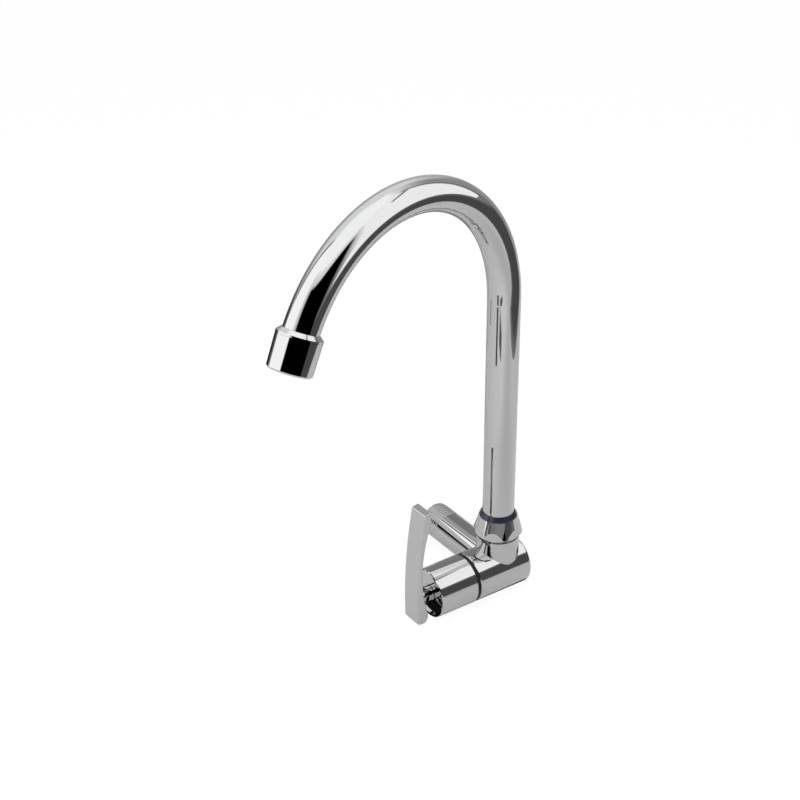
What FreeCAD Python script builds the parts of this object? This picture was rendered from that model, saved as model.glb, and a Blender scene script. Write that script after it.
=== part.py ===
import FreeCAD, Part
import math
import os

os.makedirs("parts", exist_ok=True)
V = FreeCAD.Vector

# Wall-mounted kitchen tap with one quarter-turn lever and a swivelling swan-neck spout.
# Millimetres. Every piece is modelled round the point where the valve axis, along X, crosses the
# spout axis, along Z. The arm to the wall runs along +Y and the lever is at the -X end.
# On export all pieces move so that the origin is on the inlet axis in the face of the wall.

# Clearances
running_fit = 0.06       # radial, between a turning piece and its bore
seat_fit = 0.05          # radial, between two pieces of one body
face_gap = 0.1           # between faces that slide on each other
braze_gap = 0.02         # radial, in a brazed joint
washer_gap = 0.2         # radial, between a washer and the bore or edge next to it
tool_over = 1.0          # how far a cutting tool runs past the surface
touch = 1e-6             # two places closer than this are the same

# Valve body
body_d = 30.4
body_right = 15.1        # spout axis to the closed end
body_left = 22.9         # spout axis to the face under the black ring
end_round = 1.6
edge_chamfer = 0.3       # at both sides of the black ring
spout_from_wall = 49.5   # spout axis to the face of the wall
inlet_thread_d = 20.955  # half-inch pipe thread
arm_step = 0.22          # arm to the top of the thread
inlet_thread_show = 1.0  # thread left in front of the wall
inlet_thread_in = 15.5   # thread inside the wall
inlet_bore_d = 13.0
inlet_chamfer = 1.0
chamber_gap = 0.7        # radial, for the water round the disc cage
seat_gap = 1.7           # end of the disc cage to the valve seat
feed_step = 0.6          # radial, bore of the seal to the water way behind it
feed_right = 8.0         # spout axis to the blind end of that water way
outlet_d = 5.2           # slanting water way up to the spout socket
outlet_angle = 54.0      # so steep that a drill clears the mouth of the socket
outlet_down = 6.0        # along that water way, from the corner of the socket's floor
outlet_up = 8.0
sleeve_length = 10.1     # threaded sleeve under the cover

# Neck and spout socket
neck_d = 26.0
neck_top = 23.5          # valve axis to the shoulder below the nut
socket_step = 0.525      # radial, tube to the socket that its foot turns in
socket_floor = 12.5
socket_chamfer = 0.6

# Cover and black ring
ring_thick = 2.3
ring_inset = 0.25
cover_length = 25.1
cover_wall = 1.5
collar_thick = 0.15      # thread inside the cover
cover_end_wall = 2.2
cover_bevel = 0.4
cover_rim = 1.2          # edge of the cover in front of its end face
cover_rim_wall = 1.8

# Nut and gland bush
nut_wall = 2.45          # thread to the flats
nut_gap = 1.2            # open groove, shoulder of the neck to the nut
nut_height = 12.55
nut_lip = 1.3            # radial, top of the nut round the gland bush
nut_cone_angle = 17.5
nut_foot = 0.22          # radial, flats to the smaller foot that the lower corners are turned to
nut_foot_slope = 50.0    # of those corners, above the horizontal
nut_ledge = 0.8          # radial, roof of the nut over the split ring
nut_roof = 2.0
nut_play = 0.35          # split ring to that roof
nut_vertex_angle = 10.0  # one corner, seen from above, from +X
bush_height = 2.9
bush_wall = 0.56
bush_top_wall = 0.35
bush_inset = 0.1         # rim of the bush inside the top of the nut
bush_edge = 0.5

# Headwork
bonnet_step = 0.75       # radial, chamber to the thread of the bonnet
bonnet_thread_length = 9.1
flange_gap = 1.4         # radial, flange to the inside of the cover
flange_step = 1.85       # radial, flange to the thread
bonnet_flange = 3.0
bonnet_hex = 19.0        # across flats of the part that the key turns
bonnet_hex_length = 5.0
bonnet_neck_d = 12.0
clip_room = 0.8          # spindle clip to the end wall of the cover
gasket_thick = 0.8
cage_wall = 0.9
cage_length = 14.2
cage_window = (7.0, 4.2)
spindle_d = 7.6
head_d = 6.2             # over the serrations
head_root_d = 5.5
head_teeth = 16
head_in_cover = 1.5      # inner end of the serrations behind the cover's end face
head_end_gap = 0.2       # to the floor of the lever's bore
flange_thick = 2.4
friction_thick = 0.6
tongue = (2.4, 1.2)      # width and depth of the drive into the moving disc
tongue_step = 1.75       # radial, end of the drive to the rim of the disc
flange_width = 8.6       # the flange is a bar, so that water can pass beside it
disc_thick = 3.5
disc_gap = 0.05
window_inner_d = 4.6
window_rim = 1.75        # round the windows
window_angle = 82.0
seal_wall = 2.65
ring_section = 1.5       # O-rings of the spindle
ring_pitch = 4.0
clip_thick = 0.8
clip_d = 10.6
clip_groove_d = 6.4
clip_slot = 2.4

# Lever
lever_width = 13.6
lever_round = 0.5
boss_d = 9.8
boss_gap = 0.3           # boss to the cover
bore_depth = 6.6
screw_d = 3.0
screw_length = 2.6
screw_from_end = 2.4     # screw axis to the open end of the boss
screw_angle = 40.0       # above the horizontal, towards the user
screw_sink = 0.5         # outer end of the screw below the boss
screw_key = 1.5
screw_key_depth = 1.2

# Side view of the lever: to the left of the cover's end face, and above the valve axis
lever_tip_outer = (8.2, 60.2)
lever_tip_inner = (3.6, 61.0)
lever_pad_low = (4.3, 52.5)      # the blade is thick at its tip, for the finger
lever_pad_bend = (5.6, 48.6)
lever_waist_top = (6.5, 45.0)
lever_waist = (10.0, 18.0)
lever_foot_top = (6.1, -9.5)
lever_foot_nose = (6.7, -13.2)
lever_foot_low = (9.9, -15.0)
lever_outer_low = (13.2, -14.2)
lever_outer_mid = (12.9, 22.0)

# Spout
tube_d = 19.05           # three quarters of an inch
tube_wall = 1.0
bend_start = 179.2       # valve axis to the start of the bend
bend_radius = 85.0
bend_angle = 153.7
spout_swing = 13.9       # spout in front of the line parallel to the wall
tip_wall = 1.25          # threaded sleeve on the end of the tube
tip_shoulder = 3.3       # cone that the sleeve starts with, above the end of the bend
tip_cone = 2.1           # height of that cone
tip_edge = 0.4           # radial, upper edge of the cone
tip_relief = 0.1         # radial, because the tube still bends there
ferrule_gap = 2.0        # to the floor of the socket
ferrule_wall = 1.6       # behind the groove of the split ring
ferrule_land = 1.6       # split ring to the foot of the tube
ferrule_in_tube = 10.0
oring_section = 1.9
oring_foot = 4.9         # foot of the ferrule to its first O-ring
oring_pitch = 5.0
oring_count = 2
ferrule_chamfer = 0.5
slip_thick = 0.8
split_thick = 2.0
split_gap = 0.25         # radial, to the thread of the nut
split_depth = 0.9
split_slot = 2.0

# Aerator
aerator_wall = 1.3
aerator_taper = 0.6      # on the diameter
aerator_length = 17.7
aerator_chamfer = 0.9
aerator_lip = 1.6
aerator_rim = 2.65       # round the mouth
aerator_edge = 0.4       # broken edge round the mouth
insert_gap = 0.3         # radial, insert inside the thread's size
insert_length = 6.2
insert_face = 1.6
insert_wall = 1.6
insert_nose_gap = 0.2    # radial, in the mouth of the cap
insert_recess = 0.6      # face of the grid above the rim of the cap
grid_hole_d = 1.7
grid_margin = 0.65       # outermost holes to the rim of the grid
grid_rings = 3
screen_thick = 0.5
screen_gap = 0.7
screen_depth = 1.0       # first screen below the top of the insert
screen_count = 2
washer_thick = 1.7       # rubber ring between tip and insert
washer_step = 1.0        # radial, inside the bore of the tube

# Diameters worked out from the sizes above
arm_d = inlet_thread_d + 2 * arm_step
hollow_d = body_d - 2 * cover_wall
sleeve_d = hollow_d - 2 * collar_thick - 2 * seat_fit
bonnet_flange_d = hollow_d - 2 * flange_gap
bonnet_thread_d = bonnet_flange_d - 2 * flange_step
chamber_d = bonnet_thread_d - 2 * bonnet_step
cage_d = chamber_d - 2 * chamber_gap
disc_d = cage_d - 2 * cage_wall - 2 * seat_fit
window_outer_d = disc_d - 2 * window_rim
tongue_length = disc_d - 2 * tongue_step
seal_bore_d = disc_d - 2 * seal_wall
feed_d = seal_bore_d + 2 * feed_step
shaft_hole_d = spindle_d + 4 * running_fit
socket_d = tube_d - 2 * socket_step
nut_hole_d = tube_d + 2 * running_fit + 2 * bush_wall + 2 * seat_fit
nut_top_d = nut_hole_d + 2 * nut_lip
nut_thread_d = nut_hole_d + 2 * nut_ledge
nut_across_flats = nut_thread_d + 2 * nut_wall
split_d = nut_thread_d + 2 * seat_fit - 2 * split_gap
split_groove_d = socket_d - 2 * split_depth
ferrule_bore_d = split_groove_d - 2 * ferrule_wall
tip_thread_d = tube_d + 2 * braze_gap + 2 * tip_wall
aerator_top_d = tip_thread_d + 2 * seat_fit + 2 * aerator_wall
aerator_low_d = aerator_top_d - aerator_taper
aerator_mouth_d = aerator_low_d - 2 * aerator_rim
insert_d = tip_thread_d - 2 * insert_gap
nose_d = aerator_mouth_d - 2 * insert_nose_gap
grid_pitch = (nose_d / 2 - grid_margin - grid_hole_d / 2) / grid_rings
washer_bore_d = tube_d - 2 * tube_wall - 2 * washer_step

# Places along the valve axis
cover_right = -body_left - ring_thick
cover_left = cover_right - cover_length
sleeve_left = -body_left - sleeve_length
flange_right = sleeve_left - gasket_thick
flange_left = flange_right - bonnet_flange
hex_left = flange_left - bonnet_hex_length
clip_left = cover_left + cover_end_wall + clip_room
clip_right = clip_left + clip_thick
bonnet_left = clip_right + face_gap
bonnet_right = sleeve_left + bonnet_thread_length
spindle_flange_left = bonnet_right + friction_thick + face_gap
spindle_flange_right = spindle_flange_left + flange_thick
moving_left = spindle_flange_right + face_gap
moving_right = moving_left + disc_thick
fixed_left = moving_right + disc_gap
fixed_right = fixed_left + disc_thick
cage_right = bonnet_right + cage_length
seat_left = cage_right + seat_gap
boss_right = cover_left - boss_gap
boss_left = cover_left - lever_waist[0]
head_left = boss_right - bore_depth + head_end_gap
head_right = cover_left + head_in_cover
screw_outer = boss_d / 2 - screw_sink

# Heights above the valve axis
nut_low = neck_top + nut_gap
nut_top = nut_low + nut_height
split_top = nut_top - nut_roof - nut_play
split_low = split_top - split_thick
nut_thread_top = split_low - face_gap - slip_thick
tube_foot = split_top + ferrule_land
ferrule_foot = socket_floor + ferrule_gap
oring_heights = [ferrule_foot + oring_foot + k * oring_pitch for k in range(oring_count)]

# Places along the outlet, from the end of the spout's bend
insert_low = aerator_length - aerator_lip
insert_high = insert_low - insert_length
tip_length = insert_high - washer_thick

X_AXIS = V(1, 0, 0)
Y_AXIS = V(0, 1, 0)
Z_AXIS = V(0, 0, 1)


def bar(x0, x1, d):
    """A round bar on the valve axis."""
    return Part.makeCylinder(d / 2, x1 - x0, V(x0, 0, 0), X_AXIS)


def post(z0, z1, d):
    """A round bar on the spout axis."""
    return Part.makeCylinder(d / 2, z1 - z0, V(0, 0, z0), Z_AXIS)


def arm(y0, y1, d):
    """A round bar on the inlet axis."""
    return Part.makeCylinder(d / 2, y1 - y0, V(0, y0, 0), Y_AXIS)


def hexagon(across_flats, length, first_vertex):
    """A six-sided bar that stands on the origin along Z."""
    corner = across_flats / math.sqrt(3)
    points = []
    for k in range(7):
        a = math.radians(first_vertex + 60 * k)
        points.append(V(corner * math.cos(a), corner * math.sin(a), 0))
    return Part.Face(Part.makePolygon(points)).extrude(V(0, 0, length))


def along_x(shape, x0):
    """Turn a piece built up along Z so that it runs along +X from x0."""
    shape = shape.copy()
    shape.rotate(V(0, 0, 0), Y_AXIS, 90)
    shape.translate(V(x0, 0, 0))
    return shape


def revolved(points, axis):
    """A solid of revolution through (along, radius) points on the X or Z axis."""
    if axis == X_AXIS:
        outline = [V(a, 0, r) for a, r in points]
    else:
        outline = [V(r, 0, a) for a, r in points]
    outline.append(outline[0])
    return Part.Face(Part.makePolygon(outline)).revolve(V(0, 0, 0), axis, 360)


def serrated(outer_d, root_d, teeth, length):
    """A serrated bar that stands on the origin along Z."""
    points = []
    for k in range(2 * teeth + 1):
        r = (outer_d if k % 2 == 0 else root_d) / 2
        a = math.pi * k / teeth
        points.append(V(r * math.cos(a), r * math.sin(a), 0))
    return Part.Face(Part.makePolygon(points)).extrude(V(0, 0, length))


def sector_windows(x0, x1, turn):
    """The pair of opposite openings in a ceramic disc, as cutters."""
    cutters = []
    for side in (0, 180):
        start = turn + side - window_angle / 2
        tool = Part.makeCylinder(window_outer_d / 2, x1 - x0, V(0, 0, 0), Z_AXIS, window_angle)
        tool = tool.cut(Part.makeCylinder(window_inner_d / 2, x1 - x0))
        tool.rotate(V(0, 0, 0), Z_AXIS, start)
        cutters.append(along_x(tool, x0))
    return cutters


def make_valve_body():
    r = body_d / 2
    trunk = revolved([(-body_left, 0), (-body_left, r - edge_chamfer), (-body_left + edge_chamfer, r),
                      (body_right, r), (body_right, 0)], X_AXIS)
    rim = [e for e in trunk.Edges if e.BoundBox.XMin > body_right - touch and e.BoundBox.ZLength > r]
    trunk = trunk.makeFillet(end_round, rim)
    thread_start = spout_from_wall - inlet_thread_show
    thread_end = spout_from_wall + inlet_thread_in
    wall_arm = arm(0, thread_start, arm_d)
    tr = inlet_thread_d / 2
    thread = Part.makeCylinder(tr, thread_end - thread_start, V(0, thread_start, 0), Y_AXIS)
    lead = [e for e in thread.Edges if e.BoundBox.YMin > thread_end - touch]
    thread = thread.makeChamfer(inlet_chamfer, lead)
    neck = post(0, neck_top, neck_d)
    spigot = post(neck_top, nut_thread_top, nut_thread_d)
    sleeve = bar(sleeve_left, -body_left, sleeve_d)
    shape = trunk.fuse([wall_arm, thread, neck, spigot, sleeve]).removeSplitter()
    bonnet_bore = bar(sleeve_left, bonnet_right, bonnet_thread_d + 2 * seat_fit)
    chamber = bar(bonnet_right, seat_left, chamber_d)
    feed = bar(seat_left, feed_right, feed_d)
    inlet = arm(0, thread_end, inlet_bore_d)
    socket = post(socket_floor, nut_thread_top, socket_d)
    mouth = Part.makeCone(socket_d / 2, socket_d / 2 + socket_chamfer, socket_chamfer,
                          V(0, 0, nut_thread_top - socket_chamfer), Z_AXIS)
    corner = V(-socket_d / 2, 0, socket_floor)
    slope = V(math.cos(math.radians(outlet_angle)), 0, math.sin(math.radians(outlet_angle)))
    foot = corner - slope * outlet_down
    head = corner + slope * outlet_up
    outlet = Part.makeCylinder(outlet_d / 2, (head - foot).Length, foot, head - foot)
    return shape.cut([bonnet_bore, chamber, feed, inlet, socket, mouth, outlet])


def make_cover():
    r = body_d / 2
    front = cover_left - cover_rim
    shell = revolved([(cover_left, 0), (cover_left, r - cover_rim_wall), (front, r - cover_rim_wall),
                      (front, r - cover_bevel), (front + cover_bevel, r),
                      (cover_right - edge_chamfer, r), (cover_right, r - edge_chamfer),
                      (cover_right, 0)], X_AXIS)
    hollow = bar(cover_left + cover_end_wall, cover_right, hollow_d)
    hole = bar(cover_left, cover_left + cover_end_wall, shaft_hole_d)
    collar = bar(sleeve_left, cover_right, hollow_d)
    collar = collar.cut(bar(sleeve_left, cover_right, sleeve_d + 2 * seat_fit))
    return shell.cut([hollow, hole]).fuse(collar).removeSplitter()


def make_cover_ring():
    ring = bar(cover_right, -body_left, body_d - 2 * ring_inset)
    return ring.cut(bar(cover_right, -body_left, sleeve_d + 2 * seat_fit))


def make_spout_nut():
    spread = nut_height * math.tan(math.radians(nut_cone_angle))
    block = hexagon(nut_across_flats, nut_height, nut_vertex_angle)
    cone = Part.makeCone(nut_top_d / 2 + spread, nut_top_d / 2, nut_height)
    foot = nut_across_flats / 2 - nut_foot
    rise = math.tan(math.radians(nut_foot_slope))
    turned = Part.makeCone(foot, foot + nut_height / rise, nut_height)
    nut = block.common(cone).common(turned)
    nut.translate(V(0, 0, nut_low))
    thread = post(nut_low, nut_top - nut_roof, nut_thread_d + 2 * seat_fit)
    hole = post(nut_top - nut_roof, nut_top, nut_hole_d)
    return nut.cut([thread, hole])


def make_gland_bush():
    low = nut_top - nut_roof
    inner = tube_d / 2 + running_fit
    skirt = nut_hole_d / 2 - seat_fit
    rim = nut_top_d / 2 - bush_inset
    high = nut_top + bush_height
    return revolved([(low, inner), (low, skirt), (nut_top, skirt), (nut_top, rim),
                     (nut_top + bush_edge, rim), (high, inner + bush_top_wall), (high, inner)], Z_AXIS)


def make_slip_washer():
    z0 = nut_thread_top
    z1 = z0 + slip_thick
    return post(z0, z1, nut_thread_d - 2 * washer_gap).cut(post(z0, z1, socket_d + 2 * washer_gap))


def make_split_ring():
    groove = post(split_low, split_top, split_groove_d + 2 * seat_fit)
    ring = post(split_low, split_top, split_d).cut(groove)
    slot = Part.makeBox(split_d, split_slot, split_thick, V(0, -split_slot / 2, split_low))
    return ring.cut(slot)


def make_spout_ferrule():
    plug = socket_d / 2 - running_fit
    land = tube_d / 2
    groove = split_groove_d / 2
    z0 = split_low - seat_fit
    z1 = split_top + seat_fit
    spigot = tube_d / 2 - tube_wall - braze_gap
    top = tube_foot + ferrule_in_tube
    shape = revolved([(ferrule_foot, ferrule_bore_d / 2), (ferrule_foot, plug - ferrule_chamfer),
                      (ferrule_foot + ferrule_chamfer, plug), (z0, plug), (z0, groove), (z1, groove),
                      (z1, land), (tube_foot, land), (tube_foot, spigot), (top, spigot),
                      (top, ferrule_bore_d / 2)], Z_AXIS)
    floor = oring_centre() - oring_section / 2 - braze_gap
    half = oring_section / 2 + face_gap
    for z in oring_heights:
        cutter = post(z - half, z + half, 2 * plug + 2 * tool_over)
        shape = shape.cut(cutter.cut(post(z - half, z + half, 2 * floor)))
    return shape


def oring_centre():
    return socket_d / 2 - running_fit / 2 - oring_section / 2


def make_spout_rings():
    rings = [Part.makeTorus(oring_centre(), oring_section / 2, V(0, 0, z)) for z in oring_heights]
    return Part.makeCompound(rings)


def spout_direction():
    a = math.radians(spout_swing)
    return V(-math.cos(a), -math.sin(a), 0)


def tip_axis():
    a = math.radians(bend_angle)
    return spout_direction() * math.sin(a) + Z_AXIS * math.cos(a)


def tip_start():
    a = math.radians(bend_angle)
    side = spout_direction() * (bend_radius * (1 - math.cos(a)))
    return side + V(0, 0, bend_start + bend_radius * math.sin(a))


def swept_bar(d, foot, straight):
    """A round bar along the spout: up, round the bend and straight to the outlet."""
    upright = post(foot, bend_start, d)
    disc = Part.Face(Part.Wire(Part.makeCircle(d / 2, V(0, 0, bend_start), Z_AXIS)))
    centre = spout_direction() * bend_radius + V(0, 0, bend_start)
    hinge = Z_AXIS.cross(spout_direction())
    bend = disc.revolve(centre, hinge, bend_angle)
    outlet = Part.makeCylinder(d / 2, straight, tip_start(), tip_axis())
    return upright.fuse([bend, outlet])


def make_spout_tube():
    outside = swept_bar(tube_d, tube_foot, tip_length)
    inside = swept_bar(tube_d - 2 * tube_wall, tube_foot, tip_length)
    return outside.cut(inside)


def at_tip(shape):
    """Move a piece built down from the origin along Z on to the outlet end of the spout."""
    shape = shape.copy()
    turn = FreeCAD.Rotation(Z_AXIS, tip_axis())
    shape.Placement = FreeCAD.Placement(tip_start(), turn).multiply(shape.Placement)
    return shape


def make_spout_tip():
    bore = tube_d / 2 + braze_gap
    rim = aerator_top_d / 2
    thread = tip_thread_d / 2
    sleeve = revolved([(-tip_shoulder, bore + tip_relief), (-tip_shoulder, bore + tip_edge),
                       (tip_cone - tip_shoulder, rim), (-face_gap, rim), (-face_gap, thread),
                       (tip_length, thread), (tip_length, bore), (0, bore), (0, bore + tip_relief)], Z_AXIS)
    return at_tip(sleeve)


def make_aerator_housing():
    rt = aerator_top_d / 2
    rl = aerator_low_d / 2
    bore = tip_thread_d / 2 + seat_fit
    length = aerator_length
    mouth = aerator_mouth_d / 2
    edge = aerator_edge
    cap = revolved([(0, bore), (0, rt), (length - aerator_chamfer, rl),
                    (length, rl - aerator_chamfer), (length, mouth + edge), (length - edge, mouth),
                    (length - aerator_lip, mouth), (length - aerator_lip, bore)], Z_AXIS)
    return at_tip(cap)


def make_aerator_insert():
    cup = Part.makeCylinder(insert_d / 2, insert_length, V(0, 0, insert_high))
    hollow = Part.makeCylinder(insert_d / 2 - insert_wall, insert_length - insert_face, V(0, 0, insert_high))
    nose = Part.makeCylinder(nose_d / 2, aerator_lip - insert_recess, V(0, 0, insert_low))
    shape = cup.cut(hollow).fuse(nose)
    holes = []
    for ring in range(grid_rings + 1):
        count = max(1, 6 * ring)
        for k in range(count):
            a = 2 * math.pi * k / count
            spot = V(ring * grid_pitch * math.cos(a), ring * grid_pitch * math.sin(a), insert_high)
            holes.append(Part.makeCylinder(grid_hole_d / 2, insert_length + aerator_lip, spot))
    return at_tip(shape.cut(holes))


def make_aerator_screens():
    d = insert_d - 2 * insert_wall - 2 * seat_fit
    discs = []
    for k in range(screen_count):
        z = insert_high + screen_depth + k * (screen_thick + screen_gap)
        discs.append(Part.makeCylinder(d / 2, screen_thick, V(0, 0, z)))
    return at_tip(Part.makeCompound(discs))


def make_aerator_gasket():
    ring = Part.makeCylinder(insert_d / 2, washer_thick, V(0, 0, tip_length))
    return at_tip(ring.cut(Part.makeCylinder(washer_bore_d / 2, washer_thick, V(0, 0, tip_length))))


def make_bonnet():
    neck = bar(bonnet_left, hex_left, bonnet_neck_d)
    key = along_x(hexagon(bonnet_hex, bonnet_hex_length, 0), hex_left)
    flange = bar(flange_left, flange_right, bonnet_flange_d)
    shank = bar(flange_right, bonnet_right, bonnet_thread_d)
    shape = neck.fuse([key, flange, shank])
    return shape.cut(bar(bonnet_left, bonnet_right, spindle_d + 2 * running_fit))


def make_bonnet_gasket():
    ring = bar(flange_right, sleeve_left, bonnet_flange_d)
    return ring.cut(bar(flange_right, sleeve_left, bonnet_thread_d + 2 * seat_fit))


def make_disc_cage():
    tube = bar(bonnet_right, cage_right, cage_d)
    tube = tube.cut(bar(bonnet_right, cage_right, cage_d - 2 * cage_wall))
    width, length = cage_window
    middle = (spindle_flange_right + moving_right) / 2
    window = Part.makeBox(length, width, 2 * cage_d, V(middle - length / 2, -width / 2, -cage_d))
    return tube.cut(window)


def make_fixed_disc():
    disc = bar(fixed_left, fixed_right, disc_d)
    return disc.cut(sector_windows(fixed_left, fixed_right, 0))


def make_moving_disc():
    disc = bar(moving_left, moving_right, disc_d - 2 * running_fit)
    disc = disc.cut(sector_windows(moving_left, moving_right, 90))
    width = tongue[0] + 2 * seat_fit
    groove = Part.makeBox(tongue[1] + face_gap, width, disc_d, V(moving_left, -width / 2, -disc_d / 2))
    return disc.cut(groove)


def make_seat_seal():
    ring = bar(fixed_right, seat_left, disc_d)
    return ring.cut(bar(fixed_right, seat_left, seal_bore_d))


def spindle_ring_places():
    middle = (bonnet_left + bonnet_right) / 2
    return [middle - ring_pitch / 2, middle + ring_pitch / 2]


def make_spindle():
    head = along_x(serrated(head_d, head_root_d, head_teeth, head_right - head_left), head_left)
    shaft = bar(head_right, spindle_flange_left, spindle_d)
    flange = bar(spindle_flange_left, spindle_flange_right, disc_d - 2 * running_fit)
    flange = flange.common(Part.makeBox(flange_thick, flange_width, disc_d,
                                        V(spindle_flange_left, -flange_width / 2, -disc_d / 2)))
    width, depth = tongue
    blade = Part.makeBox(depth + face_gap, width, tongue_length,
                         V(spindle_flange_right, -width / 2, -tongue_length / 2))
    shape = head.fuse([shaft, flange, blade])
    floor = spindle_ring_centre() - ring_section / 2 - braze_gap
    half = ring_section / 2 + face_gap
    cutters = []
    wide = spindle_d + 2 * tool_over
    for x in spindle_ring_places():
        cutters.append(bar(x - half, x + half, wide).cut(bar(x - half, x + half, 2 * floor)))
    x0 = clip_left - seat_fit
    x1 = clip_right + seat_fit
    cutters.append(bar(x0, x1, wide).cut(bar(x0, x1, clip_groove_d)))
    dimple = Part.makeCylinder(screw_d / 2 + seat_fit, head_d, V(0, 0, screw_outer - screw_length))
    cutters.append(screw_frame(dimple))
    return shape.cut(cutters)


def spindle_ring_centre():
    return spindle_d / 2 + running_fit / 2 - ring_section / 2


def make_spindle_rings():
    r = spindle_ring_centre()
    rings = [Part.makeTorus(r, ring_section / 2, V(x, 0, 0), X_AXIS) for x in spindle_ring_places()]
    return Part.makeCompound(rings)


def make_spindle_clip():
    groove = bar(clip_left, clip_right, clip_groove_d + 2 * seat_fit)
    ring = bar(clip_left, clip_right, clip_d).cut(groove)
    return ring.cut(Part.makeBox(clip_thick, clip_slot, clip_d, V(clip_left, -clip_slot / 2, 0)))


def make_friction_washer():
    x0 = bonnet_right
    x1 = x0 + friction_thick
    return bar(x0, x1, disc_d - 2 * washer_gap).cut(bar(x0, x1, shaft_hole_d))


def blade_point(spot):
    """A point of the lever's side view."""
    return V(cover_left - spot[0], 0, spot[1])


def lever_outline():
    """Side view of the blade: outer face, foot, inner face and tip."""
    outer_high = blade_point(lever_tip_outer)
    outer_low = blade_point(lever_outer_low)
    foot_low = blade_point(lever_foot_low)
    foot_top = blade_point(lever_foot_top)
    waist_top = blade_point(lever_waist_top)
    pad_low = blade_point(lever_pad_low)
    pad_high = blade_point(lever_tip_inner)
    edges = [Part.Arc(outer_high, blade_point(lever_outer_mid), outer_low).toShape(),
             Part.LineSegment(outer_low, foot_low).toShape(),
             Part.Arc(foot_low, blade_point(lever_foot_nose), foot_top).toShape(),
             Part.Arc(foot_top, blade_point(lever_waist), waist_top).toShape(),
             Part.Arc(waist_top, blade_point(lever_pad_bend), pad_low).toShape(),
             Part.LineSegment(pad_low, pad_high).toShape(),
             Part.LineSegment(pad_high, outer_high).toShape()]
    return Part.Wire(edges)


def screw_frame(shape):
    """Put a piece built along Z from the valve axis on to the axis of the grub screw."""
    shape = shape.copy()
    shape.rotate(V(0, 0, 0), X_AXIS, 90 - screw_angle)
    shape.translate(V(boss_right - screw_from_end, 0, 0))
    return shape


def make_lever():
    blade = Part.Face(lever_outline()).extrude(V(0, lever_width, 0))
    blade.translate(V(0, -lever_width / 2, 0))
    blade = blade.makeFillet(lever_round, blade.Edges)
    shape = blade.fuse(bar(boss_left, boss_right, boss_d))
    hole = serrated(head_d + 2 * seat_fit, head_root_d + 2 * seat_fit, head_teeth, bore_depth)
    tapped = screw_frame(Part.makeCylinder(screw_d / 2, boss_d))
    return shape.cut([along_x(hole, boss_right - bore_depth), tapped])


def make_lever_screw():
    low = screw_outer - screw_length
    body = Part.makeCylinder(screw_d / 2 - seat_fit, screw_length, V(0, 0, low))
    key = hexagon(screw_key, screw_key_depth, 0)
    key.translate(V(0, 0, screw_outer - screw_key_depth))
    return screw_frame(body.cut(key))


pieces = {
    "valve_body": make_valve_body,
    "cover": make_cover,
    "cover_ring": make_cover_ring,
    "spout_nut": make_spout_nut,
    "gland_bush": make_gland_bush,
    "slip_washer": make_slip_washer,
    "bonnet": make_bonnet,
    "bonnet_gasket": make_bonnet_gasket,
    "disc_cage": make_disc_cage,
    "fixed_disc": make_fixed_disc,
    "seat_seal": make_seat_seal,
    "lever": make_lever,
    "lever_screw": make_lever_screw,
    "spindle": make_spindle,
    "spindle_rings": make_spindle_rings,
    "spindle_clip": make_spindle_clip,
    "friction_washer": make_friction_washer,
    "moving_disc": make_moving_disc,
    "spout_tube": make_spout_tube,
    "spout_ferrule": make_spout_ferrule,
    "spout_rings": make_spout_rings,
    "split_ring": make_split_ring,
    "spout_tip": make_spout_tip,
    "aerator_housing": make_aerator_housing,
    "aerator_insert": make_aerator_insert,
    "aerator_screens": make_aerator_screens,
    "aerator_gasket": make_aerator_gasket,
}

for name, make in pieces.items():
    shape = make()
    shape.translate(V(0, -spout_from_wall, 0))
    shape.exportStep("parts/" + name + ".step")
    print(name, len(shape.Solids), "solid", round(shape.Volume, 1), "mm3", shape.isValid())
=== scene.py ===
import bpy
import math
from mathutils import Matrix, Vector


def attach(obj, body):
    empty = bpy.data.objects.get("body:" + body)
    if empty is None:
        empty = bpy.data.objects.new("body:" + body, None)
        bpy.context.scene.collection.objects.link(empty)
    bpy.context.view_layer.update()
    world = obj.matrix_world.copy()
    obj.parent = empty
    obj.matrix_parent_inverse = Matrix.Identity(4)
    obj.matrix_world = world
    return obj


# Wall-mounted kitchen tap: chromed brass, one quarter-turn lever, swivelling swan-neck spout
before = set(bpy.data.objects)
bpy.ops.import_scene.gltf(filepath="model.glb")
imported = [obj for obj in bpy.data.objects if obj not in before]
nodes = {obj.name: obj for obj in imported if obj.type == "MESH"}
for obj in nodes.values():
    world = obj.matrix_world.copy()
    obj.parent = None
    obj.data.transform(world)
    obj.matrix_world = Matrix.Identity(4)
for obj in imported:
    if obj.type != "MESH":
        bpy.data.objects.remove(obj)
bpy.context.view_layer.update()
mm = 0.001
print("frame loaded:", len(nodes), "pieces")


def linearColour(code):
    channels = [int(code[i:i + 2], 16) / 255 for i in (1, 3, 5)]  # code is an sRGB hex value
    return tuple(c / 12.92 if c <= 0.04045 else ((c + 0.055) / 1.055) ** 2.4 for c in channels) + (1.0,)


# Adds a node; each input is a fixed value or the output of another node, by name or by number:
# a Mix node has its factor at 0, its two numbers at 2 and 3 and its two colours at 6 and 7
def addNode(tree, kind, settings=None, inputs=None):
    node = tree.nodes.new(kind)
    for name, value in (settings or {}).items():
        setattr(node, name, value)
    for socket, given in (inputs or {}).items():
        if isinstance(given, bpy.types.NodeSocket):
            tree.links.new(given, node.inputs[socket])
        else:
            node.inputs[socket].default_value = given
    return node


def emptyMaterial(name):
    material = bpy.data.materials.new(name)
    material.use_nodes = True
    material.node_tree.nodes.clear()
    return material, material.node_tree


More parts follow.
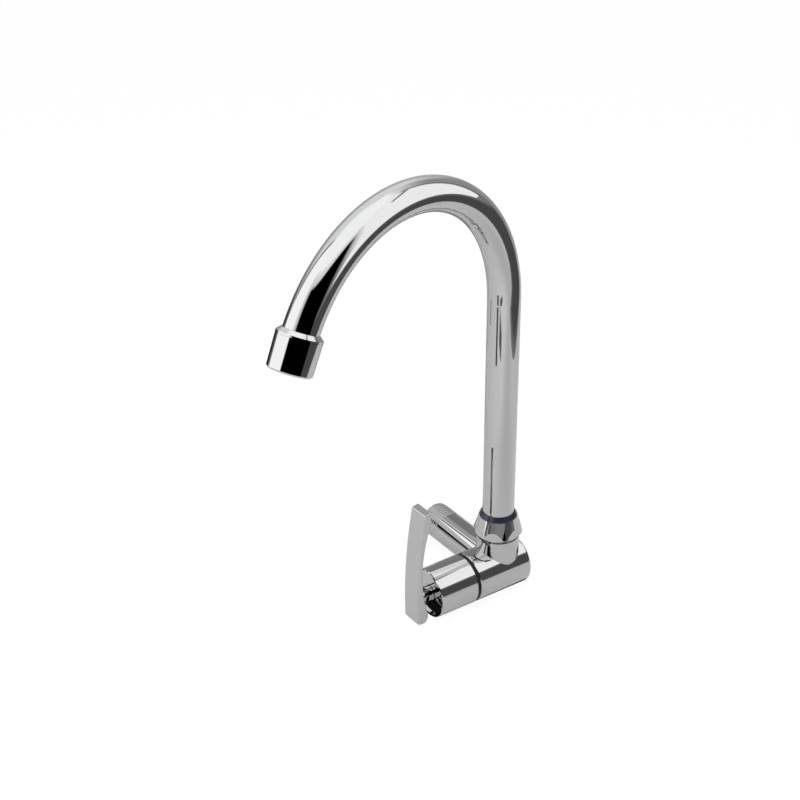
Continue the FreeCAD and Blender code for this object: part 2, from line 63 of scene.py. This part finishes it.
def solidMaterial(name, inputs):
    material, tree = emptyMaterial(name)
    shader = addNode(tree, "ShaderNodeBsdfPrincipled", inputs=inputs)
    addNode(tree, "ShaderNodeOutputMaterial", inputs={"Surface": shader.outputs["BSDF"]})
    place = addNode(tree, "ShaderNodeTexCoord").outputs["Object"]
    return material, tree, shader, place


def perMm(size):
    return 1 / (size * mm)  # scale of a texture whose pattern is this many millimetres


patchDetail = 3.0       # how ragged the patches of tone are
noiseSpan = (0.3, 0.7)  # most of a noise texture lies between these


def paintPatches(tree, shader, place, look):
    patches = addNode(tree, "ShaderNodeTexNoise", inputs={
        "Vector": place, "Scale": perMm(look["patchMm"]), "Detail": patchDetail})
    first, second = (linearColour(code) for code in look["colours"])
    tone = addNode(tree, "ShaderNodeMix", {"data_type": "RGBA"}, {
        0: patches.outputs["Fac"], 6: first, 7: second})
    tree.links.new(tone.outputs[2], shader.inputs["Base Color"])


def varyRoughness(tree, shader, source, look):
    low, high = look["rough"]
    spread = addNode(tree, "ShaderNodeMapRange", inputs={
        "Value": source, "From Min": noiseSpan[0], "From Max": noiseSpan[1], "To Min": low, "To Max": high})
    tree.links.new(spread.outputs["Result"], shader.inputs["Roughness"])


def addRelief(tree, shader, height, depthMm):
    bump = addNode(tree, "ShaderNodeBump", inputs={
        "Strength": 1.0, "Distance": depthMm * mm, "Height": height})
    tree.links.new(bump.outputs["Normal"], shader.inputs["Normal"])


chrome = {
    "colours": ("#C6C6C6", "#C0C1C1"),  # electroplated chromium over polished brass: a cool grey mirror
    "patchMm": 22.0,                    # slow change of tone where it was wiped dry
    "rough": (0.01, 0.03),
    "filmMm": 14.0,                     # patches of the thin film that wiping leaves
    "filmDetail": 4.0,
    "waveMm": 9.0,                      # slow waviness of hand polishing
    "waveDetail": 0.0,
    "waveDepthMm": 0.0006,
    "pitMm": 0.7,                       # real polishing marks are finer; drawn this coarse to show close up
    "pitDepthMm": 0.00002,
}


def makePolishedChrome():
    material, tree, shader, place = solidMaterial("polishedChrome", {"Metallic": 1.0})
    paintPatches(tree, shader, place, chrome)
    film = addNode(tree, "ShaderNodeTexNoise", inputs={
        "Vector": place, "Scale": perMm(chrome["filmMm"]), "Detail": chrome["filmDetail"]})
    varyRoughness(tree, shader, film.outputs["Fac"], chrome)
    wave = addNode(tree, "ShaderNodeTexNoise", inputs={
        "Vector": place, "Scale": perMm(chrome["waveMm"]), "Detail": chrome["waveDetail"]})
    pits = addNode(tree, "ShaderNodeTexNoise", inputs={"Vector": place, "Scale": perMm(chrome["pitMm"])})
    pitShare = chrome["pitDepthMm"] / chrome["waveDepthMm"]
    surface = addNode(tree, "ShaderNodeMath", {"operation": "MULTIPLY_ADD"}, {
        0: pits.outputs["Fac"], 1: pitShare, 2: wave.outputs["Fac"]})
    addRelief(tree, shader, surface.outputs[0], chrome["waveDepthMm"])
    return material


# Rubber, plastics, gasket board and ceramic: a mottled colour with a fine grain
# The rubber's near-black colours are partly its own black and partly painted shade for the gap it sits in
rubber = {"colours": ("#060607", "#0D0D0F"), "patchMm": 3.0, "ior": 1.52,
          "grainMm": 0.25, "grainDepthMm": 0.012, "rough": (0.64, 0.8)}
acetal = {"colours": ("#232530", "#2E3240"), "patchMm": 2.0, "ior": 1.48,
          "grainMm": 0.6, "grainDepthMm": 0.004, "rough": (0.12, 0.2)}
nylon = {"colours": ("#E3E1D8", "#D5D2C6"), "patchMm": 4.0, "ior": 1.53,
         "grainMm": 0.8, "grainDepthMm": 0.006, "rough": (0.38, 0.5)}
fibre = {"colours": ("#8A3A2C", "#6E2B21"), "patchMm": 1.2, "ior": 1.5,
         "grainMm": 0.3, "grainDepthMm": 0.02, "rough": (0.7, 0.85)}
alumina = {"colours": ("#F0EFEA", "#E6E4DC"), "patchMm": 3.0, "ior": 1.76,
           "grainMm": 0.4, "grainDepthMm": 0.001, "rough": (0.1, 0.18)}


def makePlainSolid(name, look):
    material, tree, shader, place = solidMaterial(name, {"IOR": look["ior"]})
    paintPatches(tree, shader, place, look)
    grain = addNode(tree, "ShaderNodeTexNoise", inputs={"Vector": place, "Scale": perMm(look["grainMm"])})
    varyRoughness(tree, shader, grain.outputs["Fac"], look)
    addRelief(tree, shader, grain.outputs["Fac"], look["grainDepthMm"])
    return material


# Metals with the fine lines that a lathe or a drawing die leaves
brass = {"colours": ("#D2B06A", "#B8934C"), "patchMm": 5.0,
         "lineMm": 0.25, "lineDepthMm": 0.003, "rough": (0.2, 0.34)}
steel = {"colours": ("#B9BBBE", "#A6A8AC"), "patchMm": 2.0,
         "lineMm": 0.2, "lineDepthMm": 0.002, "rough": (0.22, 0.36)}
oxide = {"colours": ("#17181A", "#0E0F10"), "patchMm": 0.8,
         "lineMm": 0.2, "lineDepthMm": 0.003, "rough": (0.3, 0.45)}
toolLines = {"bandsPerUnit": 20, "wander": 0.6, "detail": 1.0}  # a wave texture draws 20 bands at scale 1


def makeTurnedMetal(name, look, direction):
    material, tree, shader, place = solidMaterial(name, {"Metallic": 1.0})
    paintPatches(tree, shader, place, look)
    lines = addNode(tree, "ShaderNodeTexWave", {"wave_type": "BANDS", "bands_direction": direction}, {
        "Vector": place, "Scale": perMm(look["lineMm"]) / toolLines["bandsPerUnit"],
        "Distortion": toolLines["wander"], "Detail": toolLines["detail"]})
    film = addNode(tree, "ShaderNodeTexNoise", inputs={"Vector": place, "Scale": perMm(look["patchMm"])})
    varyRoughness(tree, shader, film.outputs["Fac"], look)
    addRelief(tree, shader, lines.outputs["Fac"], look["lineDepthMm"])
    return material


polishedChrome = makePolishedChrome()
finishes = [
    (polishedChrome, "valve_body cover spout_nut lever spout_tube spout_tip aerator_housing"),
    # EPDM from a mould: near black and dull. Its colour is darker than real rubber, as painted shade for the
    # gap it sits in
    (makePlainSolid("mouldedRubber", rubber),
     "cover_ring seat_seal spindle_rings spout_rings aerator_gasket"),
    # Acetal off the lathe: navy black with a hard gloss
    (makePlainSolid("turnedAcetal", acetal), "gland_bush"),
    # Natural nylon: milky, softly shiny
    (makePlainSolid("mouldedNylon", nylon), "slip_washer friction_washer split_ring aerator_insert"),
    # Red gasket board: fibrous and dull
    (makePlainSolid("pressedFibre", fibre), "bonnet_gasket"),
    # White ceramic lapped to a gloss
    (makePlainSolid("lappedAlumina", alumina), "fixed_disc moving_disc"),
    # Turned brass: yellow, with fine rings round the axis it was turned on
    (makeTurnedMetal("turnedBrass", brass, "X"), "bonnet disc_cage spindle"),
    (makeTurnedMetal("turnedBrassUpright", brass, "Z"), "spout_ferrule"),
    # Drawn spring wire and fine wire cloth: bright, a little soft
    (makeTurnedMetal("springSteel", steel, "X"), "spindle_clip"),
    (makeTurnedMetal("wovenSteel", steel, "Z"), "aerator_screens"),
    # Blued steel: black with a low shine
    (makeTurnedMetal("blackOxideSteel", oxide, "Z"), "lever_screw"),
]
print("materials ready:", len(finishes))

for material, names in finishes:
    for name in names.split():
        nodes[name].data.materials.clear()
        nodes[name].data.materials.append(material)
print("finishes given")

# Thread of the inlet, 14 turns to the inch: the solid is a plain bar, so the turns stand a little proud of it
thread = {
    "acrossMm": 20.955,
    "pitchMm": 1.814,
    "ridgeMm": 0.5,      # radius of the round ridge
    "proudMm": 0.2,
    "startMm": -2.0,     # along Y, from the face of the wall
    "endMm": 14.4,
    "runOut": 0.05,      # share of the thread over which the ridge dies away
    "runOutSize": 0.3,   # and what is left of its size at the end
    "stepsPerTurn": 64,
    "ridgeSides": 10,
}


def makeThreadTree():
    tree = bpy.data.node_groups.new("threadTurns", "GeometryNodeTree")
    for name in ("Pitch", "Length", "Radius", "Ridge", "Start", "Run Out"):
        tree.interface.new_socket(name, in_out="INPUT", socket_type="NodeSocketFloat")
    tree.interface.new_socket("Finish", in_out="INPUT", socket_type="NodeSocketMaterial")
    tree.interface.new_socket("Geometry", in_out="OUTPUT", socket_type="NodeSocketGeometry")
    given = addNode(tree, "NodeGroupInput").outputs
    turns = addNode(tree, "ShaderNodeMath", {"operation": "DIVIDE"}, {0: given["Length"], 1: given["Pitch"]})
    helix = addNode(tree, "GeometryNodeCurveSpiral", inputs={
        "Resolution": thread["stepsPerTurn"], "Rotations": turns.outputs[0],
        "Start Radius": given["Radius"], "End Radius": given["Radius"], "Height": given["Length"]})
    place = addNode(tree, "ShaderNodeCombineXYZ", inputs={"Y": given["Start"]})
    # Tips the helix over, to run along Y
    laid = addNode(tree, "GeometryNodeTransform", inputs={
        "Geometry": helix.outputs[0], "Translation": place.outputs[0], "Rotation": (-math.pi / 2, 0, 0)})
    along = addNode(tree, "GeometryNodeSplineParameter").outputs["Factor"]
    fadeStart = addNode(tree, "ShaderNodeMath", {"operation": "SUBTRACT"}, {0: 1.0, 1: given["Run Out"]})
    fade = addNode(tree, "ShaderNodeMapRange", inputs={
        "Value": along, "From Min": fadeStart.outputs[0], "From Max": 1.0,
        "To Min": 1.0, "To Max": thread["runOutSize"]})
    sized = addNode(tree, "GeometryNodeSetCurveRadius", inputs={
        "Curve": laid.outputs[0], "Radius": fade.outputs["Result"]})
    section = addNode(tree, "GeometryNodeCurvePrimitiveCircle", inputs={
        "Resolution": thread["ridgeSides"], "Radius": given["Ridge"]})
    swept = addNode(tree, "GeometryNodeCurveToMesh", inputs={
        "Curve": sized.outputs[0], "Profile Curve": section.outputs[0], "Fill Caps": True})
    whole = addNode(tree, "GeometryNodeRealizeInstances", inputs={0: swept.outputs[0]})
    coated = addNode(tree, "GeometryNodeSetMaterial", inputs={
        "Geometry": whole.outputs[0], "Material": given["Finish"]})
    addNode(tree, "NodeGroupOutput", inputs={"Geometry": coated.outputs[0]})
    return tree


def makeThreadTurns():
    maker = bpy.data.objects.new("threadMaker", bpy.data.meshes.new("threadMaker"))
    bpy.context.scene.collection.objects.link(maker)
    modifier = maker.modifiers.new("turns", "NODES")
    modifier.node_group = makeThreadTree()
    given = {
        "Pitch": thread["pitchMm"] * mm,
        "Length": (thread["endMm"] - thread["startMm"]) * mm,
        "Radius": (thread["acrossMm"] / 2 + thread["proudMm"] - thread["ridgeMm"]) * mm,
        "Ridge": thread["ridgeMm"] * mm,
        "Start": thread["startMm"] * mm,
        "Run Out": thread["runOut"],
        "Finish": polishedChrome,
    }
    for socket in modifier.node_group.interface.items_tree:
        if socket.in_out == "INPUT":
            modifier[socket.identifier] = given[socket.name]
    mesh = bpy.data.meshes.new_from_object(maker.evaluated_get(bpy.context.evaluated_depsgraph_get()))
    bpy.data.objects.remove(maker)
    mesh.name = "inletThreadTurns"
    for face in mesh.polygons:
        face.use_smooth = True
    piece = bpy.data.objects.new("inletThreadTurns", mesh)
    bpy.context.scene.collection.objects.link(piece)
    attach(piece, "fixed")
    print("thread turns:", len(mesh.polygons), "faces")


makeThreadTurns()


# Goes smoothly from 0 to top while the value goes from start to end
def fadeBetween(tree, value, start, end, top=1.0):
    return addNode(tree, "ShaderNodeMapRange", {"interpolation_type": "SMOOTHSTEP"}, {
        "Value": value, "From Min": start, "From Max": end, "To Max": top}).outputs["Result"]


# Lays a new level over the old one where every value is past its own fade
def layOver(tree, level, newLevel, fades):
    mask = 1.0
    for value, (start, end) in fades:
        mask = addNode(tree, "ShaderNodeMath", {"operation": "MULTIPLY"}, {
            0: mask, 1: fadeBetween(tree, value, start, end)}).outputs[0]
    return addNode(tree, "ShaderNodeMix", {"data_type": "FLOAT"}, {
        0: mask, 2: level, 3: newLevel}).outputs[0]


# 1 for a ray of the camera, also one that went through something clear
def seenDirectly(tree, path):
    return addNode(tree, "ShaderNodeMath", {"operation": "MAXIMUM"}, {
        0: path["Is Camera Ray"], 1: path["Is Transmission Ray"]}).outputs[0]


# What the chrome mirrors far away, by direction: azimuth 0 is the wall, 90 the right; degrees
studio = {
    "wallMiddle": 0.46,
    "wallHigh": 1.4,
    "wallRise": (0.0, 32.0),      # heights between which the wall goes from middle to high
    "wallLow": 0.92,
    "wallFall": (-3.0, -24.0),    # and from middle to low
    "table": 0.76,
    "tableEdge": (-26.2, -27.8),
    "ceiling": 1.95,
    "ceilingEdge": (52.0, 62.0),
    "paint": 0.8,                 # share of each level that the chrome gets to see
    "roomLight": 0.56,            # what lights the floor and the matt pieces
}
# Each is laid over those before it; edge and rise are half the width of its soft edges, at the sides and
# at the top and bottom
cards = [
    # Two grey cards at the right and the dark gap beside the second
    {"middle": 36, "width": 22, "low": -26, "high": 12, "edge": 7, "rise": 7, "level": 0.74},
    {"middle": 70, "width": 26, "low": -40, "high": 44, "edge": 8, "rise": 14, "level": 0.5},
    {"middle": 83, "width": 6, "low": -14, "high": 52, "edge": 2, "rise": 3, "level": 0.3},
    # Left soft box and its frame
    {"middle": -65.5, "width": 71, "low": -6, "high": 75, "edge": 2, "rise": 2, "level": 2.0},
    {"middle": -25, "width": 6, "low": 14, "high": 56, "edge": 2, "rise": 4, "level": 0.2},
    # Right soft box
    {"middle": 119, "width": 62, "low": -8, "high": 57, "edge": 3, "rise": 3, "level": 1.85},
    # Unlit room behind the camera, a dark stand beside it, and the dim grey low in front of both
    {"middle": -156, "width": 92, "low": -24, "high": 48, "edge": 6, "rise": 2.5, "level": 0.0},
    {"middle": -109.5, "width": 18, "low": 4, "high": 18.4, "edge": 2.5, "rise": 0.8, "level": 0.0},
    {"middle": -125, "width": 60, "low": -25, "high": 2.5, "edge": 4, "rise": 1, "level": 0.34},
]
halfTurn = 180.0  # degrees


# How far a direction is turned from the middle of a card, to either side
def turnedFrom(tree, turn, middle):
    offset = addNode(tree, "ShaderNodeMath", {"operation": "SUBTRACT"}, {0: turn, 1: middle})
    wrapped = addNode(tree, "ShaderNodeMath", {"operation": "WRAP"}, {
        0: offset.outputs[0], 1: halfTurn, 2: -halfTurn})
    return addNode(tree, "ShaderNodeMath", {"operation": "ABSOLUTE"}, {0: wrapped.outputs[0]}).outputs[0]


def makeStudio():
    world = bpy.data.worlds.new("studio")
    bpy.context.scene.world = world
    world.use_nodes = True
    tree = world.node_tree
    tree.nodes.clear()
    direction = addNode(tree, "ShaderNodeTexCoord").outputs["Generated"]
    way = addNode(tree, "ShaderNodeSeparateXYZ", inputs={0: direction}).outputs
    rise = addNode(tree, "ShaderNodeMath", {"operation": "ARCSINE"}, {0: way[2]}).outputs[0]
    height = addNode(tree, "ShaderNodeMath", {"operation": "DEGREES"}, {0: rise}).outputs[0]
    swing = addNode(tree, "ShaderNodeMath", {"operation": "ARCTAN2"}, {0: way[0], 1: way[1]}).outputs[0]
    turn = addNode(tree, "ShaderNodeMath", {"operation": "DEGREES"}, {0: swing}).outputs[0]

    level = layOver(tree, studio["wallMiddle"], studio["wallHigh"], [(height, studio["wallRise"])])
    level = layOver(tree, level, studio["wallLow"], [(height, studio["wallFall"])])
    level = layOver(tree, level, studio["table"], [(height, studio["tableEdge"])])
    for card in cards:
        half, edge, rise = card["width"] / 2, card["edge"], card["rise"]
        low, high = card["low"], card["high"]
        level = layOver(tree, level, card["level"], [
            (turnedFrom(tree, turn, card["middle"]), (half + edge, half - edge)),
            (height, (low - rise, low + rise)),
            (height, (high + rise, high - rise))])
    level = layOver(tree, level, studio["ceiling"], [(height, studio["ceilingEdge"])])

    path = addNode(tree, "ShaderNodeLightPath").outputs
    light = addNode(tree, "ShaderNodeMix", {"data_type": "FLOAT"}, {
        0: seenDirectly(tree, path), 2: studio["roomLight"], 3: 1.0})
    plain = addNode(tree, "ShaderNodeBackground", inputs={
        "Color": (1.0, 1.0, 1.0, 1.0), "Strength": light.outputs[0]})
    paint = studio["paint"]
    mirrored = addNode(tree, "ShaderNodeBackground", inputs={
        "Color": (paint, paint, paint, 1.0), "Strength": level})
    both = addNode(tree, "ShaderNodeMixShader", inputs={
        0: path["Is Glossy Ray"], 1: plain.outputs[0], 2: mirrored.outputs[0]})
    addNode(tree, "ShaderNodeOutputWorld", inputs={"Surface": both.outputs[0]})


makeStudio()
print("studio ready:", len(cards), "cards")


def addStagePiece(name, corners, material):
    mesh = bpy.data.meshes.new(name)
    mesh.from_pydata(corners, [], [(0, 1, 2, 3)])
    mesh.materials.append(material)
    piece = bpy.data.objects.new(name, mesh)
    bpy.context.scene.collection.objects.link(piece)
    return piece


def square(half, height):
    return [(-half, -half, height), (half, -half, height), (half, half, height), (-half, half, height)]


# Leaves a piece to the chrome alone, which still mirrors it
def hideFromLight(piece):
    piece.visible_camera = piece.visible_diffuse = piece.visible_shadow = piece.visible_transmission = False


paleFloor = {
    "colour": "#F4F4F2",
    "height": -0.0153,    # just under the lowest point of the tap
    "half": 6.0,
    "glow": 1.05,         # keeps it white in the picture
    "shadowShare": 0.12,  # how much of the real shadow shows on it
}


def makeFloor():
    material, tree = emptyMaterial("paleFloor")
    path = addNode(tree, "ShaderNodeLightPath").outputs
    matt = addNode(tree, "ShaderNodeBsdfDiffuse", inputs={"Color": linearColour(paleFloor["colour"])})
    white = addNode(tree, "ShaderNodeEmission", inputs={"Strength": paleFloor["glow"]})
    share = addNode(tree, "ShaderNodeMath", {"operation": "MULTIPLY"}, {
        0: seenDirectly(tree, path), 1: 1 - paleFloor["shadowShare"]})
    both = addNode(tree, "ShaderNodeMixShader", inputs={
        0: share.outputs[0], 1: matt.outputs[0], 2: white.outputs[0]})
    addNode(tree, "ShaderNodeOutputMaterial", inputs={"Surface": both.outputs[0]})
    floor = addStagePiece("floor", square(paleFloor["half"], paleFloor["height"]), material)
    floor.visible_glossy = False  # the chrome mirrors the sheet and the studio instead


# Painted shade: the sheet's greys stand in for how the light falls off across the table, greyer in front of
# the tap and behind it, lighter to the sides and close to the tap
sheetPaper = {
    "colours": ("#D9D9D8", "#F0F0EF"),  # greyer in front of the tap and behind it
    "aside": (0.02, 0.2),               # metres to the side over which it grows lighter
    "close": (0.24, 0.04),              # and towards the tap
    "closeShare": 0.8,                  # how far it goes to the lighter colour there
    "half": 0.62,
    "lift": 0.0001,                     # above the floor
}


def makeSheet():
    material, tree = emptyMaterial("sheetPaper")
    place = addNode(tree, "ShaderNodeTexCoord").outputs["Object"]
    away = addNode(tree, "ShaderNodeVectorMath", {"operation": "LENGTH"}, {0: place}).outputs["Value"]
    along = addNode(tree, "ShaderNodeSeparateXYZ", inputs={0: place}).outputs[0]
    aside = addNode(tree, "ShaderNodeMath", {"operation": "ABSOLUTE"}, {0: along}).outputs[0]
    light = addNode(tree, "ShaderNodeMath", {"operation": "ADD"}, {
        0: fadeBetween(tree, aside, *sheetPaper["aside"]),
        1: fadeBetween(tree, away, *sheetPaper["close"], top=sheetPaper["closeShare"])})
    dark, pale = (linearColour(code) for code in sheetPaper["colours"])
    tone = addNode(tree, "ShaderNodeMix", {"data_type": "RGBA"}, {0: light.outputs[0], 6: dark, 7: pale})
    paper = addNode(tree, "ShaderNodeBsdfDiffuse", inputs={"Color": tone.outputs[2]})
    addNode(tree, "ShaderNodeOutputMaterial", inputs={"Surface": paper.outputs[0]})
    corners = square(sheetPaper["half"], paleFloor["height"] + sheetPaper["lift"])
    hideFromLight(addStagePiece("sheet", corners, material))


makeFloor()
makeSheet()
print("floor and sheet ready")

boardCentre = -0.059  # y of the point that the boards stand round, at the front of the spout's foot


def around(azimuth, distance):
    turn = math.radians(azimuth)  # 0 is the wall, 90 the right
    return distance * math.sin(turn), distance * math.cos(turn) + boardCentre


# Boards near the tap, seen only in the chrome: two ends, low and high edge in metres, and how light they are;
# edgeLevel is for one that grows lighter towards its low and high edge
slotEnds = ((-0.2585, 0.179), (-0.2135, 0.227))
boards = {
    "boardFront": {"ends": (around(182.4, 0.444), around(104, 0.35)),
                   "low": (-0.016, -0.008), "high": (0.218, 0.218), "level": 0.1, "edgeLevel": 0.3},
    "boardRight": {"ends": (around(104, 0.35), around(85.6, 0.461)),
                   "low": (-0.008, -0.006), "high": (0.218, 0.272), "level": 0.1, "edgeLevel": 0.3},
    "boardLow": {"ends": (around(179, 0.44), around(232, 0.44)),
                 "low": (0.034, 0.034), "high": (0.085, 0.085), "level": 0.33},
    "boardBehind": {"ends": ((-0.33, 0.32), (-0.12, 0.32)),
                    "low": (0.05, 0.05), "high": (0.25, 0.25), "level": 0.07},
    "boardBehindLow": {"ends": ((-0.3, 0.319), (-0.075, 0.319)),
                       "low": (0.015, 0.015), "high": (0.125, 0.11), "level": 0.01},
    "slotDark": {"ends": slotEnds, "low": (0.042, 0.042), "high": (0.12, 0.12), "level": 0.01},
    "slotSill": {"ends": slotEnds, "low": (-0.002, -0.002), "high": (0.042, 0.042), "level": 0.45},
    "cardLeft": {"ends": ((-0.105, 0.045), (-0.035, 0.095)),
                 "low": (0.038, 0.038), "high": (0.079, 0.079), "level": 0.76},
    "cardMiddle": {"ends": ((-0.042, 0.118), (0.03, 0.117)),
                   "low": (0.06, 0.06), "high": (0.24, 0.24), "level": 0.55},
    "cardRight": {"ends": ((0.03, 0.117), (0.115, 0.06)),
                  "low": (-0.006, 0.012), "high": (0.168, 0.168), "level": 0.3},
    "legLeft": {"ends": (around(-92, 0.307), around(-104, 0.307)),
                "low": (-0.015, -0.015), "high": (0.035, 0.035), "level": 0.12},
    "legRight": {"ends": (around(-114, 0.307), around(-130, 0.307)),
                 "low": (0.004, -0.015), "high": (0.037, 0.01), "level": 0.14},
    "boxFrame": {"ends": ((0.427, -0.008), (0.354, -0.325)),
                 "low": (0.785, 0.79), "high": (0.885, 0.875), "level": 0.42},
}
boardFades = {"low": (0.02, -0.014), "high": (0.165, 0.225)}  # heights between which a board grows lighter
# The tap's own contact shadow on the sheet, as the chrome mirrors it: corners and height in metres
contactShadow = {
    "corners": ((-0.064, -0.0555), (0.02, -0.0612), (0.02, -0.028), (-0.064, -0.028)),
    "height": -0.01515,
    "level": 0.008,
}


def makeBoardPaint(name, look):
    material, tree = emptyMaterial(name + "Board")
    level = look["level"]
    if "edgeLevel" in look:
        place = addNode(tree, "ShaderNodeTexCoord").outputs["Object"]
        height = addNode(tree, "ShaderNodeSeparateXYZ", inputs={0: place}).outputs[2]
        for fade in boardFades.values():
            level = layOver(tree, level, look["edgeLevel"], [(height, fade)])
    light = addNode(tree, "ShaderNodeEmission", inputs={"Strength": level})
    addNode(tree, "ShaderNodeOutputMaterial", inputs={"Surface": light.outputs[0]})
    return material


def makeBoards():
    for name, board in boards.items():
        (x1, y1), (x2, y2) = board["ends"]
        low, high = board["low"], board["high"]
        corners = [(x1, y1, low[0]), (x2, y2, low[1]), (x2, y2, high[1]), (x1, y1, high[0])]
        hideFromLight(addStagePiece(name, corners, makeBoardPaint(name, board)))
    corners = [(x, y, contactShadow["height"]) for x, y in contactShadow["corners"]]
    hideFromLight(addStagePiece("contactShadow", corners, makeBoardPaint("contactShadow", contactShadow)))


makeBoards()
print("boards ready:", len(boards))

softLamp = {"place": (-0.5, -0.6, 1.1), "aim": (-0.05, -0.06, 0.1), "size": 0.9, "watts": 9.0}


def makeLamp():
    data = bpy.data.lights.new("softLamp", "AREA")
    data.shape = "DISK"
    data.size = softLamp["size"]
    data.energy = softLamp["watts"]
    light = bpy.data.objects.new("softLamp", data)
    light.location = softLamp["place"]
    aim = Vector(softLamp["aim"]) - Vector(softLamp["place"])
    light.rotation_euler = aim.to_track_quat("-Z", "Y").to_euler()
    light.visible_glossy = False
    bpy.context.scene.collection.objects.link(light)


makeLamp()
print("lamp ready")

# The azimuth is where the camera looks from, 0 being straight in front of the wall; degrees and metres
camera = {
    "place": (-0.51604, -0.69487, 0.57038),
    "azimuth": -34.590,
    "elevation": 28.901,
    "roll": -0.372,
    "lensMm": 73.468,
    "sensorMm": 36.0,
    "clip": (0.05, 50.0),
}


def makeCamera():
    azimuth, elevation, roll = (math.radians(camera[k]) for k in ("azimuth", "elevation", "roll"))
    flat = math.cos(elevation)
    back = Vector((math.sin(azimuth) * flat, -math.cos(azimuth) * flat, math.sin(elevation)))
    right = Vector((0, 0, 1)).cross(back).normalized()
    up = back.cross(right)
    across = right * math.cos(roll) + up * math.sin(roll)
    upward = up * math.cos(roll) - right * math.sin(roll)
    data = bpy.data.cameras.new("camera")
    data.lens = camera["lensMm"]
    data.sensor_width = camera["sensorMm"]
    data.clip_start, data.clip_end = camera["clip"]
    eye = bpy.data.objects.new("camera", data)
    turn = Matrix((across, upward, back)).transposed().to_4x4()
    eye.matrix_world = Matrix.Translation(camera["place"]) @ turn
    bpy.context.scene.collection.objects.link(eye)
    bpy.context.scene.camera = eye


makeCamera()
bpy.context.scene.view_settings.view_transform = "Standard"
print("camera ready")
